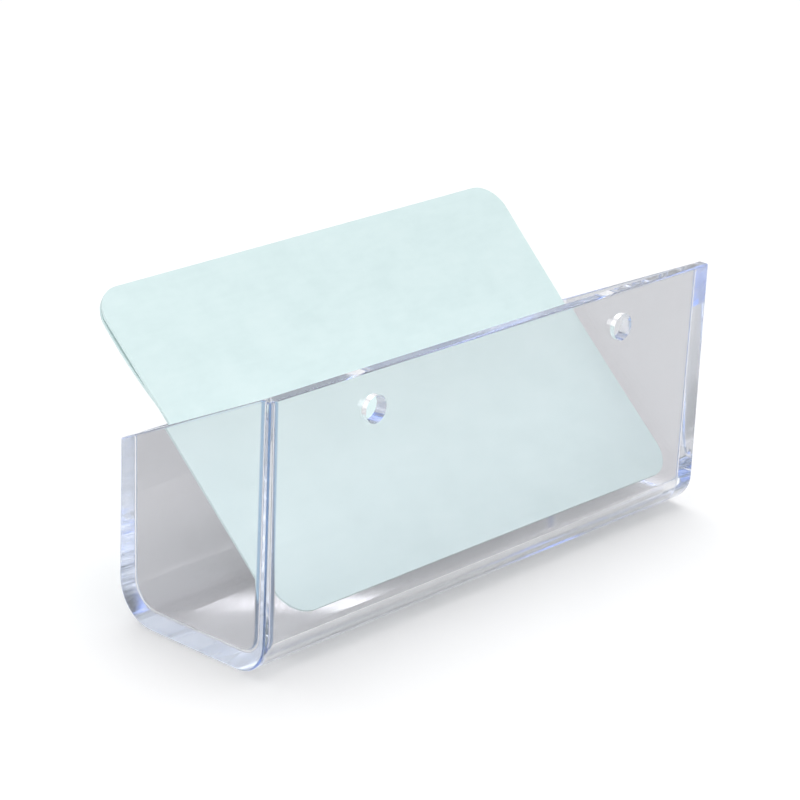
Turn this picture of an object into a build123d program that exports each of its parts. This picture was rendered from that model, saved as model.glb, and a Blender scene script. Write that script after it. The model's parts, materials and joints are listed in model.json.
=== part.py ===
from build123d import *
from math import asin, atan2, cos, degrees, hypot, radians, sin, tan
import os

# Clear card holder for a desk or a wall, with two cards leaning over its low front wall.
# Millimetres, +Z up. The front faces -Y and the back wall with its screw holes stands at +Y.
# The origin is the middle of the holder's footprint, on the desk.

# Holder, one clear moulding. Walls are measured at the floor of the pocket, angles in degrees.
length = 99.5
depth = 30.0
back_height = 41.8
back_top_width = 1.6
front_height = 28.2
back_wall = 2.3
front_wall = 2.0
end_wall = 2.3
floor_thickness = 2.3
back_bend_radius = 5.5
front_bend_radius = 6.8
pocket_draft = 0.6
pocket_corner_radius = 0.8
edge_rounding = 0.35

# Screw holes in the back wall
hole_diameter = 4.3
hole_spacing = 56.4
hole_below_rim = 6.1

# Cards, as wide as the pocket less this clearance at each end
card_end_clearance = 2.95
card_height = 56.5
card_thickness = 0.4
card_corner_radius = 5.0

# How the cards lie: feet on the back wall just above its bend, fronts on the front wall's inner rim
foot_above_bend = 0.9
foot_clearance = 0.1
lip_clearance = 0.15
card_gap = 0.1
card_side_shift = 1.9
front_card_shift = 0.5
front_card_rise = 0.6

# Cutters reach this far past the faces that they open
overrun = 5.0

os.makedirs("parts", exist_ok=True)

# Places that follow from the sizes above
back_y = depth / 2
front_y = -depth / 2
hole_height = back_height - hole_below_rim
back_bend_inside = back_bend_radius - back_wall
front_bend_inside = front_bend_radius - front_wall
pocket_length = length - 2 * end_wall
card_width = pocket_length - 2 * card_end_clearance
pocket_top = back_height + overrun
draft_slope = tan(radians(pocket_draft))
pocket_widening = (pocket_top - floor_thickness) * draft_slope
rim_slope = (back_height - front_height) / (depth - back_top_width)

# The front wall's inner rim edge, where its drafted inner face meets the slanted rim
lip_inset = (front_wall - (front_height - floor_thickness) * draft_slope) / (1 + rim_slope * draft_slope)
lip_y = front_y + lip_inset
lip_z = front_height + rim_slope * lip_inset

# The front card's foot line, with the card's thickness between it and the drafted back wall
foot_z = floor_thickness + back_bend_inside + foot_above_bend
wall_at_foot = back_y - back_wall + (foot_z - floor_thickness) * draft_slope
foot_y = wall_at_foot - foot_clearance - card_thickness

# The cards lean from that foot line over the inner rim edge
foot_to_lip = hypot(foot_y - lip_y, lip_z - foot_z)
card_lean = atan2(foot_y - lip_y, lip_z - foot_z) - asin(lip_clearance / foot_to_lip)
card_up = Vector(0, -sin(card_lean), cos(card_lean))
card_rear = Vector(0, cos(card_lean), sin(card_lean))
foot = Vector(-card_side_shift, foot_y, foot_z)

# The rear card stands on the same wall, so it starts higher by as much as it lies further back
rear_card_offset = card_thickness + card_gap
rear_card_start = rear_card_offset / tan(card_lean)


def bent_profile(bottom, back, front, top, back_radius, front_radius):
    """Side profile, from (y, z) places, with a round bend at each end of its bottom line."""
    with BuildSketch(Plane.YZ) as profile:
        with BuildLine():
            Polyline((back, bottom), (front, bottom), *top, close=True)
        make_face()
        fillet(vertices().group_by(Axis.Y)[0].sort_by(Axis.X)[-1], back_radius)
        fillet(vertices().group_by(Axis.Y)[0].sort_by(Axis.X)[0], front_radius)
    return profile.sketch


def card_plane(rise, offset_to_rear):
    """Plane of a card's front face, its origin at the middle of the card's foot."""
    origin = foot + card_up * rise + card_rear * offset_to_rear
    return Plane(origin=origin, x_dir=(-1, 0, 0), z_dir=card_rear)


# The room for the cards, a core that widens upwards so that the moulding comes off it
pocket_back = back_y - back_wall
pocket_front = front_y + front_wall
pocket_profile = bent_profile(
    floor_thickness,
    pocket_back,
    pocket_front,
    ((pocket_front - pocket_widening, pocket_top), (pocket_back + pocket_widening, pocket_top)),
    back_bend_inside,
    front_bend_inside,
)
with BuildPart() as pocket:
    extrude(pocket_profile, amount=pocket_length / 2, both=True)
    draft(faces().filter_by(Axis.X), Plane.XY.offset(floor_thickness), -pocket_draft)
    pocket_ends = faces().sort_by(Axis.X)
    fillet(pocket_ends[0].edges() + pocket_ends[-1].edges(), pocket_corner_radius)

# Holder: the bent side profile runs the whole length. Its rim is level along the back and slants
# down from there to the low front.
holder_profile = bent_profile(
    0,
    back_y,
    front_y,
    ((front_y, front_height), (back_y - back_top_width, back_height), (back_y, back_height)),
    back_bend_radius,
    front_bend_radius,
)
with BuildPart() as holder:
    extrude(holder_profile, amount=length / 2, both=True)
    add(pocket.part, mode=Mode.SUBTRACT)
    rim = faces().sort_by(Axis.Z)[-2:]
    ends = faces().filter_by(Axis.X).sort_by(Axis.X)
    fillet(rim.edges() + ends[0].edges() + ends[-1].edges(), edge_rounding)
    with BuildSketch(Plane.XZ.offset(-back_y - overrun)):
        with Locations((0, hole_height)):
            with GridLocations(hole_spacing, hole_spacing, 2, 1):
                Circle(hole_diameter / 2)
    extrude(amount=back_wall + 2 * overrun, mode=Mode.SUBTRACT)

# Rear card, the one that shows from behind, lying on the front card
with BuildPart() as rear_card:
    with BuildSketch(card_plane(rear_card_start, rear_card_offset)):
        with Locations((0, card_height / 2)):
            RectangleRounded(card_width, card_height, card_corner_radius)
    extrude(amount=card_thickness)

# Front card, resting on the rim a little to one side of the rear card and almost level with it
with BuildPart() as front_card:
    with BuildSketch(card_plane(front_card_rise, 0)):
        with Locations((front_card_shift, card_height / 2)):
            RectangleRounded(card_width, card_height, card_corner_radius)
    extrude(amount=card_thickness)

holder.part.label = "holder"
rear_card.part.label = "rear_card"
front_card.part.label = "front_card"
export_step(holder.part, "parts/holder.step")
export_step(rear_card.part, "parts/rear_card.step")
export_step(front_card.part, "parts/front_card.step")

print("cards lean", round(degrees(card_lean), 2), "degrees, lifting along", tuple(card_up))
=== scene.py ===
import json
from math import cos, hypot, pi, radians, sin

import bmesh
import bpy
from mathutils import Matrix, Vector


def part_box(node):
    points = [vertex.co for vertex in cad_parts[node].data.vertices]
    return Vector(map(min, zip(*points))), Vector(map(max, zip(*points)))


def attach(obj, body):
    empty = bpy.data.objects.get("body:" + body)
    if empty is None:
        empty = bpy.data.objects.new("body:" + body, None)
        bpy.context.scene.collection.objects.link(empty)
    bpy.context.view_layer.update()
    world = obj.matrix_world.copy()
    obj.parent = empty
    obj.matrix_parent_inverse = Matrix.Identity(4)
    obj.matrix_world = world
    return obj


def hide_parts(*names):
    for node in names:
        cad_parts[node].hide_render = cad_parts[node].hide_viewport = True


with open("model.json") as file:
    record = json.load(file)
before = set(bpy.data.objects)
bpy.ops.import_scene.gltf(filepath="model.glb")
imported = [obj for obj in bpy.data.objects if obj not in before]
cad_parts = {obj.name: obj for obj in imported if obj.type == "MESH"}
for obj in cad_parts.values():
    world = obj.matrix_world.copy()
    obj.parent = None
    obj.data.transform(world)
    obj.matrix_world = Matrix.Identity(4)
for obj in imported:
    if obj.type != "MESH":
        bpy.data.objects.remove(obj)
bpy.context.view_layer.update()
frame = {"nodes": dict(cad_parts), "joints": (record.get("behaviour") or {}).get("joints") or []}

# A clear moulded card holder seen from behind, with two pale paper cards leaning over its low front.
# Metres, in the frame of the solids: +Z up, the back wall with its two holes at +Y, the low front at -Y.

# Cards, as large as their solids
CARD_THICKNESS = 0.0004
CARD_WIDTH = 0.089
CARD_HEIGHT = 0.0565
CARD_CORNER_RADIUS = 0.005
CARD_COLUMNS = 73
CARD_ROWS = 65
CORNER_ROWS_SHARE = 0.2
CARD_SHARP_EDGE = radians(40.0)

# A card's own directions: up it, which is the way that it lifts out, across it and to its rear
lift = next(joint for joint in frame["joints"] if joint["name"] == "rear_card_lift")
CARD_UP = Vector(lift["axis"]).normalized()
CARD_ACROSS = Vector((-1.0, 0.0, 0.0))
CARD_REAR = CARD_ACROSS.cross(CARD_UP)

# How the paper bends. The wave is in the front card alone, its middle and reach are shares of the height.
CARD_FOOT_BOW = 0.00045
REAR_CURL = 0.0018
FRONT_CARD_WAVE = 0.0009
WAVE_MIDDLE = 0.84
WAVE_REACH = 0.2

# Card paper: mint stock, from its darker clouds to its paler ones
PAPER_COLOURS = (
    (0.32, (0.585, 0.715, 0.715)),
    (0.52, (0.615, 0.745, 0.745)),
    (0.70, (0.64, 0.765, 0.765)),
)
PAPER_CLOUDS = 130.0
PAPER_CLOUDS_SHARE = 0.7
PAPER_FIBRES = (260.0, 900.0, 900.0)
PAPER_FIBRES_SHARE = 0.3
PAPER_TOOTH = 5000.0
PAPER_TOOTH_DEPTH = 0.00005
PAPER_ROUGHNESS = (0.5, 0.66)

# Clear plastic, from where it has no grey cast to where the cast is deepest. A faint part of the cast is
# the plastic's own tint, the rest is painted shade that greys what is seen through the walls.
PLASTIC_TINT_AND_PAINTED_SHADE = (
    (0.2, (0.965, 0.965, 0.97)),
    (0.7, (0.825, 0.822, 0.832)),
    (1.0, (0.61, 0.605, 0.63)),
)
SHADE_PATCHES = 20.0
SHADE_PATCHES_SHARE = 0.3
HANDLING_MARKS = 90.0
POLISH = (0.015, 0.045)
PLASTIC_IOR = 1.59

# The painted shade fades towards the floor, below this height, and half as high in the end walls. It
# deepens along the floor to the front wall, and is part of the way to the front's in the end wall at -X.
SHADE_FADES_BELOW = 0.010
FLOOR_MIDDLE_TO_FRONT = 0.013
END_WALL_X = 0.0470
BACK_SHADE_SHARE = 0.7
FRONT_SHADE_SHARE = 0.3
FAR_END_SHADE_SHARE = 0.75

# Past these places the front wall shows its ends, which are left without the painted shade and stay clear
WALL_END_X = 0.0495
WALL_END_Y = -0.0127

# The plastic's blue along a wall, from its absorption, and a painted dark blue shade in the roundings of
# the upright corners
BLUE_ALONG_A_WALL = (0.40, 0.50, 0.65, 1.0)
BLUE_DENSITY = 6.0
CORNER_PAINTED_SHADE_BLUE = (0.2, 0.3, 0.52, 1.0)
CORNER_TURN = (0.1, 0.3)

# The holder's flat faces, upright, level or slightly drafted, its slanted rim and its two screw holes
FLAT_WITHIN = cos(radians(1.2))
RIM_DROP = 0.0136
RIM_RUN = 0.0284
SLANTED_RIM = Vector((0.0, -RIM_DROP, RIM_RUN)).normalized()
HOLE_X = 0.0282
HOLE_Z = 0.0357
HOLE_RADIUS = 0.00215

# Points closer than this are one point
SAME_POINT = 1e-6

# Camera, aimed at a place just above the middle of the holder
PHOTO_SIDE = 800
SENSOR_WIDTH = 36.0
FOCAL_PIXELS = 2862.3
CAMERA_AZIMUTH = radians(48.344)
CAMERA_ELEVATION = radians(19.830)
CAMERA_ROLL = radians(2.467)
CAMERA_DISTANCE = 0.43368
CAMERA_AIM = Vector((0.0064, 0.0, 0.027778))

# Floor, which turns plain white between these distances from the holder
FLOOR_SIDE = 6.0
FLOOR_GAP = 0.0003
FLOOR_COLOURS = ((0.3, (0.965, 0.965, 0.965)), (0.7, (0.98, 0.98, 0.98)))
FLOOR_CLOUDS = 8.0
WHITE_FROM = 0.15
WHITE_AT = 0.60

# Studio light: each softbox has its place, width, height and power, and faces the middle of the holder
WORLD_COLOUR = (0.98, 0.985, 1.0, 1.0)
WORLD_STRENGTH = 0.47
LIGHTS_FACE = Vector((0.0, 0.0, 0.03))
OVERHEAD = ((-0.25, -0.25, 1.1), 1.4, 1.4, 9.5)
FRONT_STRIP = ((-0.744, -0.764, 0.486), 0.5, 0.008, 0.12)
KEY = ((0.80, 0.72, 0.50), 0.8, 0.8, 8.4)
BOUNCES_ALONG_A_WALL = 48


def maths(tree, operation, *values):
    """One math node's result. Each value is a number or another node's output."""
    node = tree.nodes.new("ShaderNodeMath")
    node.operation = operation
    for socket, value in zip(node.inputs, values):
        if isinstance(value, (int, float)):
            socket.default_value = value
        else:
            tree.links.new(value, socket)
    return node.outputs[0]


def new_node(tree, kind, inputs=None, **settings):
    """A node with its settings made and its inputs set or linked."""
    node = tree.nodes.new(kind)
    for name, value in settings.items():
        setattr(node, name, value)
    for name, value in (inputs or {}).items():
        if isinstance(value, bpy.types.NodeSocket):
            tree.links.new(value, node.inputs[name])
        else:
            node.inputs[name].default_value = value
    return node


def new_material(name):
    """An empty material, with its node tree and its output node."""
    material = bpy.data.materials.new(name)
    material.use_nodes = True
    material.node_tree.nodes.clear()
    return material, material.node_tree, material.node_tree.nodes.new("ShaderNodeOutputMaterial")


def object_place(tree):
    """The place on the object, for patterns."""
    return tree.nodes.new("ShaderNodeTexCoord").outputs["Object"]


def colour_ramp(tree, factor, stops):
    """A colour ramp's colour, from (place, colour) stops."""
    node = tree.nodes.new("ShaderNodeValToRGB")
    tree.links.new(factor, node.inputs["Fac"])
    ramp = node.color_ramp
    while len(ramp.elements) < len(stops):
        ramp.elements.new(1.0)
    for element, (place, colour) in zip(ramp.elements, stops):
        element.position = place
        element.color = (*colour, 1.0)
    return node.outputs["Color"]


def noise(tree, place, scale, detail=3.0, roughness=0.5):
    """A noise pattern's value, from 0 to 1."""
    node = new_node(tree, "ShaderNodeTexNoise", {
        "Vector": place, "Scale": scale, "Detail": detail, "Roughness": roughness})
    return node.outputs["Fac"]


def tint_and_painted_shade(tree, place):
    """The plastic's grey cast by its place in the holder, a faint tint made mostly of painted shade, left
    out at the ends of the front wall.
    """
    along = new_node(tree, "ShaderNodeSeparateXYZ", {"Vector": place})
    from_middle = maths(tree, "ABSOLUTE", along.outputs["X"])
    in_end_wall = maths(tree, "GREATER_THAN", from_middle, END_WALL_X)
    in_far_end = maths(tree, "LESS_THAN", along.outputs["X"], -END_WALL_X)
    forward = new_node(tree, "ShaderNodeMapRange", {
        "Value": along.outputs["Y"], "From Min": 0.0, "From Max": -FLOOR_MIDDLE_TO_FRONT})
    between_ends = maths(tree, "SUBTRACT", 1.0, in_end_wall)
    to_front = maths(tree, "MULTIPLY", forward.outputs["Result"], between_ends)

    # How much of the painted shade is there, from the floor upwards and to the front
    rise = maths(tree, "DIVIDE", along.outputs["Z"], SHADE_FADES_BELOW)
    up_wall = maths(tree, "MULTIPLY", rise, maths(tree, "ADD", in_end_wall, 1.0))
    patches = maths(tree, "MULTIPLY", noise(tree, place, SHADE_PATCHES), SHADE_PATCHES_SHARE)
    patchy = maths(tree, "ADD", maths(tree, "ADD", up_wall, to_front), patches)
    upper = maths(tree, "MINIMUM", patchy, 1.0)

    # How deep the painted shade is there, from the back's to the front's
    far_end = maths(tree, "MULTIPLY", in_far_end, FAR_END_SHADE_SHARE)
    front_part = maths(tree, "MULTIPLY", maths(tree, "MAXIMUM", to_front, far_end), FRONT_SHADE_SHARE)
    deeper = maths(tree, "MULTIPLY", upper, maths(tree, "ADD", front_part, BACK_SHADE_SHARE))
    at_end = maths(tree, "GREATER_THAN", from_middle, WALL_END_X)
    in_front_wall = maths(tree, "LESS_THAN", along.outputs["Y"], WALL_END_Y)
    elsewhere = maths(tree, "SUBTRACT", 1.0, maths(tree, "MULTIPLY", at_end, in_front_wall))
    return colour_ramp(tree, maths(tree, "MULTIPLY", deeper, elsewhere), PLASTIC_TINT_AND_PAINTED_SHADE)


def clear_plastic():
    """Clear moulded plastic: polished, with a grey cast that is mostly painted shade, blue along its walls
    from absorption, and painted dark blue shade in its upright corners.
    """
    material, tree, output = new_material("clear_plastic")
    place = object_place(tree)
    handling = noise(tree, place, HANDLING_MARKS, 4.0)
    polish = new_node(tree, "ShaderNodeMapRange", {
        "Value": handling, "From Min": 0.35, "From Max": 0.75, "To Min": POLISH[0], "To Max": POLISH[1]})

    # The roundings of the upright corners, outside and in the pocket, get painted shade: a dark blue that
    # stands in for the light bent along them
    normal = tree.nodes.new("ShaderNodeNewGeometry").outputs["Normal"]
    facing = new_node(tree, "ShaderNodeSeparateXYZ", {"Vector": normal})
    turned = maths(tree, "ABSOLUTE", maths(tree, "MULTIPLY", facing.outputs["X"], facing.outputs["Y"]))
    corner = new_node(tree, "ShaderNodeMapRange", {
        "Value": turned, "From Min": CORNER_TURN[0], "From Max": CORNER_TURN[1]})
    # The colour is the grey cast, mostly painted shade, with the painted dark blue corner shade mixed over
    # it
    colour = new_node(tree, "ShaderNodeMix", data_type="RGBA")
    tree.links.new(corner.outputs["Result"], colour.inputs["Factor"])
    tree.links.new(tint_and_painted_shade(tree, place), colour.inputs[6])
    colour.inputs[7].default_value = CORNER_PAINTED_SHADE_BLUE

    shader = new_node(tree, "ShaderNodeBsdfPrincipled", {
        "Base Color": colour.outputs[2],
        "Roughness": polish.outputs["Result"],
        "IOR": PLASTIC_IOR,
        "Transmission Weight": 1.0,
    })
    depth = new_node(tree, "ShaderNodeVolumeAbsorption", {
        "Color": BLUE_ALONG_A_WALL, "Density": BLUE_DENSITY})
    tree.links.new(shader.outputs["BSDF"], output.inputs["Surface"])
    tree.links.new(depth.outputs["Volume"], output.inputs["Volume"])
    return material


def card_paper():
    """Smooth pale mint card: cloudy stock, fine fibres across it and a soft tooth."""
    material, tree, output = new_material("card_stock")
    place = object_place(tree)
    clouds = noise(tree, place, PAPER_CLOUDS, 4.0, 0.6)
    stretch = new_node(tree, "ShaderNodeMapping", {"Vector": place, "Scale": PAPER_FIBRES})
    fibres = noise(tree, stretch.outputs["Vector"], 1.0, 2.0)
    cloudy = maths(tree, "MULTIPLY", clouds, PAPER_CLOUDS_SHARE)
    fibrous = maths(tree, "MULTIPLY", fibres, PAPER_FIBRES_SHARE)
    colour = colour_ramp(tree, maths(tree, "ADD", cloudy, fibrous), PAPER_COLOURS)
    tooth = noise(tree, place, PAPER_TOOTH, 2.0)
    bump = new_node(tree, "ShaderNodeBump", {
        "Strength": 0.12, "Distance": PAPER_TOOTH_DEPTH, "Height": tooth})
    rough = new_node(tree, "ShaderNodeMapRange", {
        "Value": clouds, "To Min": PAPER_ROUGHNESS[0], "To Max": PAPER_ROUGHNESS[1]})
    shader = new_node(tree, "ShaderNodeBsdfPrincipled", {
        "Base Color": colour,
        "Roughness": rough.outputs["Result"],
        "Specular IOR Level": 0.35,
        "Normal": bump.outputs["Normal"],
    })
    tree.links.new(shader.outputs["BSDF"], output.inputs["Surface"])
    return material


def card_sheet_tree(material):
    """Geometry nodes for one card: a grid drawn in at its corners, bent as the paper is and made thick.

    Its local X runs across the card, Y up it and Z to its rear, from the card's middle."""
    tree = bpy.data.node_groups.new("card_sheet", "GeometryNodeTree")
    sizes = {}
    entry = tree.nodes.new("NodeGroupInput")
    for name in ("Width", "Height", "Corner Radius", "Thickness", "Foot Bow", "Rear Curl", "Edge Wave"):
        tree.interface.new_socket(name, in_out="INPUT", socket_type="NodeSocketFloat")
        sizes[name] = entry.outputs[name]
    tree.interface.new_socket("Geometry", in_out="OUTPUT", socket_type="NodeSocketGeometry")
    width, height, radius = sizes["Width"], sizes["Height"], sizes["Corner Radius"]

    # A unit grid: across from -1 to 1, and up from 0 to 1
    grid = new_node(tree, "GeometryNodeMeshGrid", {
        "Size X": 2.0, "Size Y": 1.0, "Vertices X": CARD_COLUMNS, "Vertices Y": CARD_ROWS})
    position = tree.nodes.new("GeometryNodeInputPosition")
    split = new_node(tree, "ShaderNodeSeparateXYZ", {"Vector": position.outputs["Position"]})
    across = split.outputs["X"]
    up = maths(tree, "ADD", split.outputs["Y"], 0.5)

    # Rows near an end follow the corner arcs, the others are evenly spaced
    from_end = maths(tree, "MINIMUM", up, maths(tree, "SUBTRACT", 1.0, up))
    quarter = maths(tree, "MINIMUM", maths(tree, "DIVIDE", from_end, CORNER_ROWS_SHARE), 1.0)
    angle = maths(tree, "MULTIPLY", quarter, pi / 2)
    arc_height = maths(tree, "MULTIPLY", radius, maths(tree, "SUBTRACT", 1.0, maths(tree, "COSINE", angle)))
    arc_inset = maths(tree, "MULTIPLY", radius, maths(tree, "SUBTRACT", 1.0, maths(tree, "SINE", angle)))
    straight = maths(tree, "SUBTRACT", height, maths(tree, "MULTIPLY", radius, 2.0))
    past_arc = maths(tree, "MAXIMUM", maths(tree, "SUBTRACT", from_end, CORNER_ROWS_SHARE), 0.0)
    straight_pace = maths(tree, "DIVIDE", straight, 1.0 - 2.0 * CORNER_ROWS_SHARE)
    straight_run = maths(tree, "MULTIPLY", past_arc, straight_pace)
    end_distance = maths(tree, "ADD", arc_height, straight_run)
    half_height = maths(tree, "MULTIPLY", height, 0.5)
    half_width = maths(tree, "MULTIPLY", width, 0.5)
    side = maths(tree, "SIGN", maths(tree, "SUBTRACT", up, 0.5))
    y = maths(tree, "MULTIPLY", side, maths(tree, "SUBTRACT", half_height, end_distance))
    x = maths(tree, "MULTIPLY", across, maths(tree, "SUBTRACT", half_width, arc_inset))

    # The paper's own shape: the ends of the foot bow to the front, the far top corner curls to the rear
    # and the near edge waves to the front below its top corner
    x_share = maths(tree, "DIVIDE", x, half_width)
    y_share = maths(tree, "DIVIDE", maths(tree, "ADD", y, half_height), height)
    arch = maths(tree, "POWER", maths(tree, "ABSOLUTE", x_share), 2.0)
    to_foot = maths(tree, "POWER", maths(tree, "SUBTRACT", 1.0, y_share), 2.0)
    bow = maths(tree, "MULTIPLY", maths(tree, "MULTIPLY", sizes["Foot Bow"], arch), to_foot)
    to_far_side = maths(tree, "MULTIPLY", maths(tree, "ADD", x_share, 1.0), 0.5)
    to_near_side = maths(tree, "SUBTRACT", 1.0, to_far_side)
    to_top = maths(tree, "POWER", y_share, 2.0)
    curl = maths(tree, "MULTIPLY", maths(tree, "MULTIPLY", sizes["Rear Curl"], to_far_side), to_top)
    from_crest = maths(tree, "DIVIDE", maths(tree, "SUBTRACT", y_share, WAVE_MIDDLE), WAVE_REACH)
    crest = maths(tree, "MAXIMUM", maths(tree, "SUBTRACT", 1.0, maths(tree, "POWER", from_crest, 2.0)), 0.0)
    near_edge = maths(tree, "MULTIPLY", sizes["Edge Wave"], maths(tree, "POWER", to_near_side, 3.0))
    wave = maths(tree, "MULTIPLY", near_edge, crest)
    half_thickness = maths(tree, "MULTIPLY", sizes["Thickness"], 0.5)
    to_front = maths(tree, "ADD", maths(tree, "ADD", bow, wave), half_thickness)
    z = maths(tree, "SUBTRACT", curl, to_front)
    shaped = new_node(tree, "ShaderNodeCombineXYZ", {"X": x, "Y": y, "Z": z})
    face = new_node(tree, "GeometryNodeSetPosition", {
        "Geometry": grid.outputs["Mesh"], "Position": shaped.outputs["Vector"]}).outputs["Geometry"]

    # The front face turned over, the rear face and the cut edges between them
    thick = new_node(tree, "GeometryNodeExtrudeMesh", {
        "Mesh": face, "Offset": (0.0, 0.0, 1.0), "Offset Scale": sizes["Thickness"], "Individual": False})
    front = new_node(tree, "GeometryNodeFlipFaces", {"Mesh": face})
    join = tree.nodes.new("GeometryNodeJoinGeometry")
    tree.links.new(front.outputs["Mesh"], join.inputs["Geometry"])
    tree.links.new(thick.outputs["Mesh"], join.inputs["Geometry"])
    merged = new_node(tree, "GeometryNodeMergeByDistance", {
        "Geometry": join.outputs["Geometry"], "Distance": SAME_POINT})
    real = new_node(tree, "GeometryNodeRealizeInstances", {"Geometry": merged.outputs["Geometry"]})
    finished = new_node(tree, "GeometryNodeSetMaterial", {
        "Geometry": real.outputs["Geometry"], "Material": material})
    leave = tree.nodes.new("NodeGroupOutput")
    tree.links.new(finished.outputs["Geometry"], leave.inputs["Geometry"])
    return tree


def card_sheet(name, tree, node, edge_wave):
    """A paper card in the place of a plain card solid, riding on that card's body."""
    maker = bpy.data.objects.new(name + "_maker", bpy.data.meshes.new(name + "_maker"))
    bpy.context.scene.collection.objects.link(maker)
    modifier = maker.modifiers.new("card_sheet", "NODES")
    modifier.node_group = tree
    values = {
        "Width": CARD_WIDTH,
        "Height": CARD_HEIGHT,
        "Corner Radius": CARD_CORNER_RADIUS,
        "Thickness": CARD_THICKNESS,
        "Foot Bow": CARD_FOOT_BOW,
        "Rear Curl": REAR_CURL,
        "Edge Wave": edge_wave,
    }
    for socket in tree.interface.items_tree:
        if socket.in_out == "INPUT":
            modifier[socket.identifier] = values[socket.name]
    evaluated = maker.evaluated_get(bpy.context.evaluated_depsgraph_get())
    mesh = bpy.data.meshes.new_from_object(evaluated)
    bpy.data.objects.remove(maker)
    mesh.name = name
    low, high = (Vector(corner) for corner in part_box(node))
    axes = Matrix((CARD_ACROSS, CARD_UP, CARD_REAR)).transposed().to_4x4()
    mesh.transform(Matrix.Translation((low + high) / 2) @ axes)
    mesh.shade_smooth()
    mesh.set_sharp_from_angle(angle=CARD_SHARP_EDGE)
    card = bpy.data.objects.new(name, mesh)
    bpy.context.scene.collection.objects.link(card)
    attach(card, node)
    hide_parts(node)


def holder_shell():
    """The holder's own surface, merged, with its bends, holes and rounded edges shaded round."""
    mesh = frame["nodes"]["holder"].data.copy()
    mesh.name = "holder_shell"
    mesh.materials.clear()
    mesh.materials.append(clear_plastic())
    shape = bmesh.new()
    shape.from_mesh(mesh)
    bmesh.ops.remove_doubles(shape, verts=shape.verts, dist=SAME_POINT)
    shape.normal_update()
    for face in shape.faces:
        middle = face.calc_center_median()
        in_hole = hypot(abs(middle.x) - HOLE_X, middle.z - HOLE_Z) < HOLE_RADIUS
        along_an_axis = max(abs(part) for part in face.normal) > FLAT_WITHIN
        on_slanted_rim = face.normal.dot(SLANTED_RIM) > FLAT_WITHIN
        face.smooth = in_hole or not (along_an_axis or on_slanted_rim)
    shape.to_mesh(mesh)
    shape.free()
    shell = bpy.data.objects.new("holder_shell", mesh)
    bpy.context.scene.collection.objects.link(shell)
    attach(shell, "holder")
    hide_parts("holder")
    return shell


def shown_to_camera(tree):
    """1 for what the camera sees, straight, mirrored or through the plastic, 0 for light on the object."""
    path = tree.nodes.new("ShaderNodeLightPath").outputs
    seen = maths(tree, "ADD", path["Is Camera Ray"], path["Is Glossy Ray"])
    return maths(tree, "MINIMUM", maths(tree, "ADD", seen, path["Is Transmission Ray"]), 1.0)


def studio_floor():
    """A wide pale floor that keeps the object's soft shadow and is plain white further away."""
    mesh = bpy.data.meshes.new("studio_floor")
    half = FLOOR_SIDE / 2
    corners = [(x, y, -FLOOR_GAP) for x, y in ((-half, -half), (half, -half), (half, half), (-half, half))]
    mesh.from_pydata(corners, [], [(0, 1, 2, 3)])
    floor = bpy.data.objects.new("studio_floor", mesh)
    bpy.context.scene.collection.objects.link(floor)
    material, tree, output = new_material("pale_floor")
    place = object_place(tree)
    shader = new_node(tree, "ShaderNodeBsdfPrincipled", {
        "Base Color": colour_ramp(tree, noise(tree, place, FLOOR_CLOUDS), FLOOR_COLOURS),
        "Roughness": 0.9,
        "Specular IOR Level": 0.1,
    })
    distance = new_node(tree, "ShaderNodeVectorMath", {0: place}, operation="LENGTH").outputs["Value"]
    away = new_node(tree, "ShaderNodeMapRange", {
        "Value": distance, "From Min": WHITE_FROM, "From Max": WHITE_AT}, interpolation_type="SMOOTHSTEP")
    white = new_node(tree, "ShaderNodeEmission", {"Color": (1.0, 1.0, 1.0, 1.0), "Strength": 1.0})
    whiter = maths(tree, "MULTIPLY", away.outputs["Result"], shown_to_camera(tree))
    fade = new_node(tree, "ShaderNodeMixShader", {
        0: whiter, 1: shader.outputs["BSDF"], 2: white.outputs["Emission"]})
    tree.links.new(fade.outputs["Shader"], output.inputs["Surface"])
    mesh.materials.append(material)


def softbox(name, place, width, height, power):
    """A soft light of this width and height at a place, facing the middle of the holder."""
    lamp = bpy.data.lights.new(name, "AREA")
    lamp.shape = "RECTANGLE"
    lamp.size = width
    lamp.size_y = height
    lamp.energy = power
    light = bpy.data.objects.new(name, lamp)
    light.location = place
    light.rotation_euler = (LIGHTS_FACE - Vector(place)).to_track_quat("-Z", "Y").to_euler()
    bpy.context.scene.collection.objects.link(light)
    return light


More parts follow.
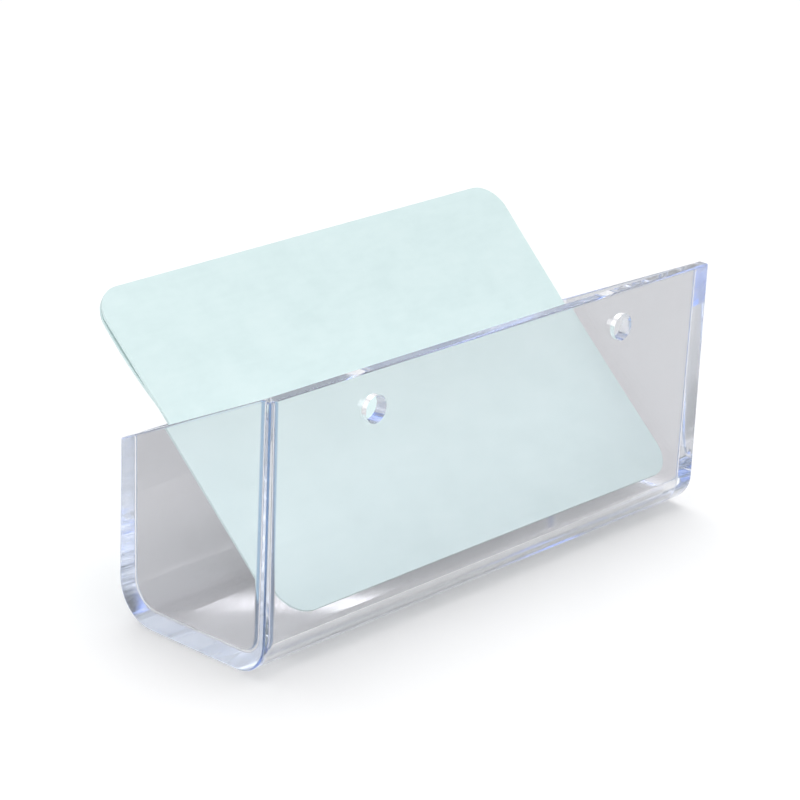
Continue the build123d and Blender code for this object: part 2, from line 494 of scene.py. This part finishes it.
def studio_light(holder):
    """Even pale surroundings, which the camera sees as white, and three soft lights."""
    world = bpy.data.worlds.new("studio")
    bpy.context.scene.world = world
    world.use_nodes = True
    tree = world.node_tree
    tree.nodes.clear()
    output = tree.nodes.new("ShaderNodeOutputWorld")
    brighter = maths(tree, "MULTIPLY", shown_to_camera(tree), 1.0 - WORLD_STRENGTH)
    background = new_node(tree, "ShaderNodeBackground", {
        "Color": WORLD_COLOUR, "Strength": maths(tree, "ADD", brighter, WORLD_STRENGTH)})
    tree.links.new(background.outputs["Background"], output.inputs["Surface"])
    softbox("overhead_softbox", *OVERHEAD)
    softbox("front_strip", *FRONT_STRIP)
    key = softbox("key_softbox", *KEY)

    # The clear walls let the key light straight through to the cards and the floor
    clear_pieces = bpy.data.collections.new("clear_pieces")
    clear_pieces.objects.link(holder)
    clear_pieces.collection_objects[0].light_linking.link_state = "EXCLUDE"
    key.light_linking.blocker_collection = clear_pieces


def photo_camera():
    """The camera of the photo: behind the holder, to its left and above, a little tilted."""
    back = Vector((
        sin(CAMERA_AZIMUTH) * cos(CAMERA_ELEVATION),
        cos(CAMERA_AZIMUTH) * cos(CAMERA_ELEVATION),
        sin(CAMERA_ELEVATION),
    ))
    level_right = (-back).cross(Vector((0, 0, 1))).normalized()
    level_up = level_right.cross(-back)
    right = level_right * cos(CAMERA_ROLL) + level_up * sin(CAMERA_ROLL)
    up = level_up * cos(CAMERA_ROLL) - level_right * sin(CAMERA_ROLL)
    lens = bpy.data.cameras.new("photo_camera")
    lens.sensor_width = SENSOR_WIDTH
    lens.lens = FOCAL_PIXELS * SENSOR_WIDTH / PHOTO_SIDE
    camera = bpy.data.objects.new("photo_camera", lens)
    turn = Matrix((right, up, back)).transposed().to_4x4()
    camera.matrix_world = Matrix.Translation(CAMERA_AIM + back * CAMERA_DISTANCE) @ turn
    bpy.context.scene.collection.objects.link(camera)
    bpy.context.scene.camera = camera


card_tree = card_sheet_tree(card_paper())
card_sheet("rear_card_sheet", card_tree, "rear_card", 0.0)
card_sheet("front_card_sheet", card_tree, "front_card", FRONT_CARD_WAVE)

studio_floor()
studio_light(holder_shell())
photo_camera()
bpy.context.scene.view_settings.view_transform = "Standard"
light_paths = bpy.context.scene.cycles
light_paths.max_bounces = BOUNCES_ALONG_A_WALL
light_paths.glossy_bounces = BOUNCES_ALONG_A_WALL
light_paths.transmission_bounces = BOUNCES_ALONG_A_WALL
